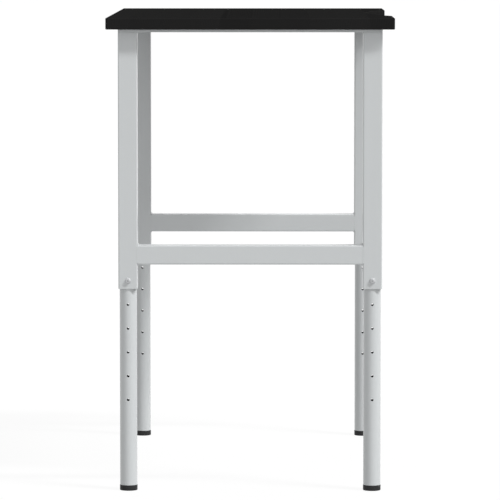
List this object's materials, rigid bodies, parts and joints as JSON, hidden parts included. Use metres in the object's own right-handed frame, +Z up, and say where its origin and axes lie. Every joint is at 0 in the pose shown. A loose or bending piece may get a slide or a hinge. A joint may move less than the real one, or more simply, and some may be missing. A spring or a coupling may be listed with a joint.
{
  "type": "height-adjustable work bench",
  "caption": "Free-standing lab work bench: solid dark wood top with a curved recess in the front edge, on welded square-tube end frames whose round drilled legs slide to set the height.",
  "frame": {"origin": "on the floor under the middle of the top", "axes": "+X along the bench to the user's right, -Y to the front with the recess, +Z up"},
  "size_m": [1, 0.6, 0.99],
  "materials": {
    "black_stained_wood": "black stained solid wood, matt oil finish",
    "grey_powder_coat": "light grey powder coat, satin",
    "zinc_plated_steel": "bright zinc plating",
    "black_plastic": "black moulded plastic, matt"
  },
  "bodies": {
    "bench": {"table_top": "black_stained_wood", "left_top_bar": "grey_powder_coat", "left_cross_beam": "grey_powder_coat", "left_top_screw_1": "zinc_plated_steel", "left_top_screw_2": "zinc_plated_steel", "left_top_screw_3": "zinc_plated_steel", "left_top_screw_4": "zinc_plated_steel", "left_front_post": "grey_powder_coat", "left_front_lock_bolt": "zinc_plated_steel", "left_front_lock_nut": "zinc_plated_steel", "left_rear_post": "grey_powder_coat", "left_rear_lock_bolt": "zinc_plated_steel", "left_rear_lock_nut": "zinc_plated_steel", "right_top_bar": "grey_powder_coat", "right_cross_beam": "grey_powder_coat", "right_top_screw_1": "zinc_plated_steel", "right_top_screw_2": "zinc_plated_steel", "right_top_screw_3": "zinc_plated_steel", "right_top_screw_4": "zinc_plated_steel", "right_front_post": "grey_powder_coat", "right_front_lock_bolt": "zinc_plated_steel", "right_front_lock_nut": "zinc_plated_steel", "right_rear_post": "grey_powder_coat", "right_rear_lock_bolt": "zinc_plated_steel", "right_rear_lock_nut": "zinc_plated_steel"},
    "left_front_slider": {"left_front_leg": "grey_powder_coat", "left_front_foot": "black_plastic"},
    "left_rear_slider": {"left_rear_leg": "grey_powder_coat", "left_rear_foot": "black_plastic"},
    "right_front_slider": {"right_front_leg": "grey_powder_coat", "right_front_foot": "black_plastic"},
    "right_rear_slider": {"right_rear_leg": "grey_powder_coat", "right_rear_foot": "black_plastic"}
  },
  "joints": [
    {"name": "left_front_leg_slide", "type": "slide", "parent": "bench", "child": "left_front_slider", "axis": [0, 0, 1], "range_m": [-0.05, 0.25]},
    {"name": "left_rear_leg_slide", "type": "slide", "parent": "bench", "child": "left_rear_slider", "axis": [0, 0, 1], "range_m": [-0.05, 0.25]},
    {"name": "right_front_leg_slide", "type": "slide", "parent": "bench", "child": "right_front_slider", "axis": [0, 0, 1], "range_m": [-0.05, 0.25]},
    {"name": "right_rear_leg_slide", "type": "slide", "parent": "bench", "child": "right_rear_slider", "axis": [0, 0, 1], "range_m": [-0.05, 0.25]}
  ]
}
